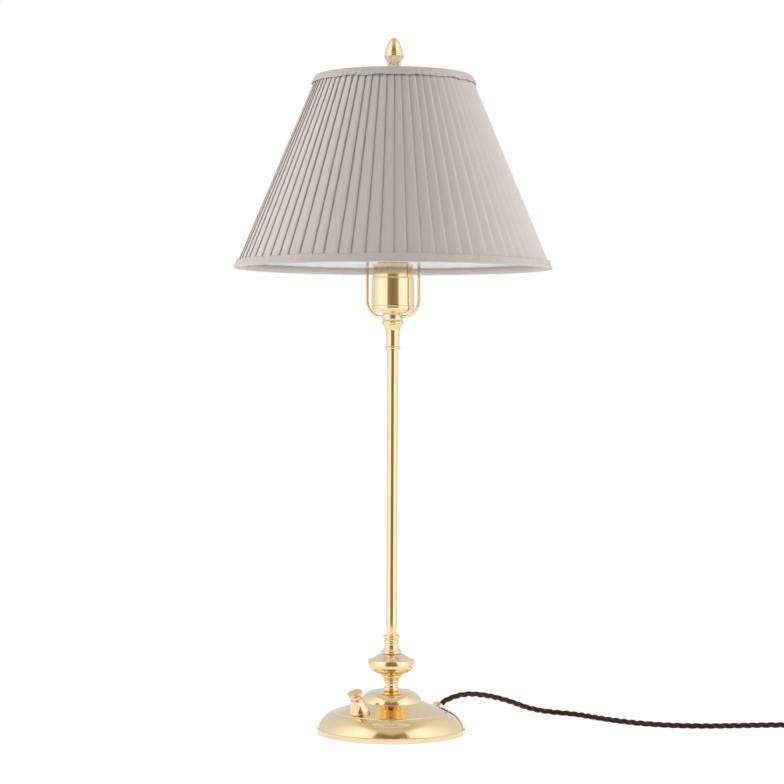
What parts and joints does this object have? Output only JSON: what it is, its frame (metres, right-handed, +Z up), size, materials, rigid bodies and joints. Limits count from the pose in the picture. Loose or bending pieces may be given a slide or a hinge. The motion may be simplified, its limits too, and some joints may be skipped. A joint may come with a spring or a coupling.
{
  "type": "candlestick table lamp",
  "caption": "Slim turned brass candlestick table lamp on a round weighted foot, with a knife-pleated cone shade held by a harp and acorn finial, a foot switch and a twisted cloth cord.",
  "frame": {"origin": "the middle of the foot, on the surface that the lamp stands on", "axes": "+Z up the stem to the finial; the side seen first, with the switch, faces -Y; the cord leaves towards +X and +Y"},
  "size_m": [0.6381, 0.2988, 0.65],
  "materials": {
    "polished_brass": "polished and lacquered",
    "cast_iron": "as cast",
    "green_felt": "pressed felt",
    "zinced_steel": "zinc plated",
    "porcelain": "glazed",
    "sheet_brass": "bright, as pressed",
    "bulb_cap_metal": "bright, as pressed",
    "bulb_white": "satin moulded",
    "bulb_opal": "opal moulded",
    "shade_cloth": "woven, knife pleated",
    "shade_lining_cloth": "smooth woven",
    "shade_binding": "bias cut binding",
    "switch_black": "moulded",
    "button_brass": "polished, satin top",
    "cord_cloth": "braided textile over three twisted cores",
    "plug_plastic": "moulded",
    "pin_nickel": "nickel plated",
    "lead_sheath": "extruded",
    "block_plastic": "moulded"
  },
  "bodies": {
    "lamp": {"foot_shell": "polished_brass", "felt_pad": "green_felt", "foot_weight": "cast_iron", "foot_washer": "zinced_steel", "foot_nut": "zinced_steel", "lower_spindle": "polished_brass", "knop": "polished_brass", "upper_spindle": "polished_brass", "stem_tube": "polished_brass", "top_bushing": "polished_brass", "harp_saddle": "polished_brass", "harp_bow": "polished_brass", "harp_stud": "polished_brass", "lampholder_cap": "polished_brass", "lampholder_shell": "polished_brass", "lampholder_core": "porcelain", "lampholder_sleeve": "sheet_brass", "lampholder_contact": "sheet_brass", "switch_ring": "polished_brass", "switch_bell": "polished_brass", "switch_body": "switch_black", "cord_ferrule": "polished_brass", "cord": "cord_cloth", "cord_coil": "cord_cloth", "plug_body": "plug_plastic", "plug_pins": "pin_nickel", "plug_earth_clips": "pin_nickel", "terminal_block": "block_plastic", "supply_tail": "cord_cloth", "switch_lead": "lead_sheath", "tube_lead": "lead_sheath"},
    "shade": {"shade_cover": "shade_cloth", "shade_lining": "shade_lining_cloth", "shade_spider": "polished_brass", "shade_bottom_ring": "zinced_steel", "shade_struts": "zinced_steel", "shade_top_trim": "shade_binding", "shade_bottom_trim": "shade_binding"},
    "finial": {"finial": "polished_brass"},
    "bulb": {"bulb_cap": "bulb_cap_metal", "bulb_housing": "bulb_white", "bulb_globe": "bulb_opal"},
    "button": {"switch_button": "button_brass"}
  },
  "joints": [
    {"name": "shade_turn", "type": "hinge", "parent": "lamp", "child": "shade", "pos_m": [0, 0, 0.612], "axis": [0, 0, 1], "continuous": true},
    {"name": "finial_turn", "type": "hinge", "parent": "lamp", "child": "finial", "pos_m": [0, 0, 0.62], "axis": [0, 0, 1], "continuous": true},
    {"name": "bulb_turn", "type": "hinge", "parent": "lamp", "child": "bulb", "pos_m": [0, 0, 0.42], "axis": [0, 0, 1], "continuous": true},
    {"name": "button_press", "type": "slide", "parent": "lamp", "child": "button", "axis": [0.2433, 0.2849, -0.9272], "range_m": [0, 0.0025], "stiffness_N_per_m": 400, "springref_m": -0.004}
  ]
}
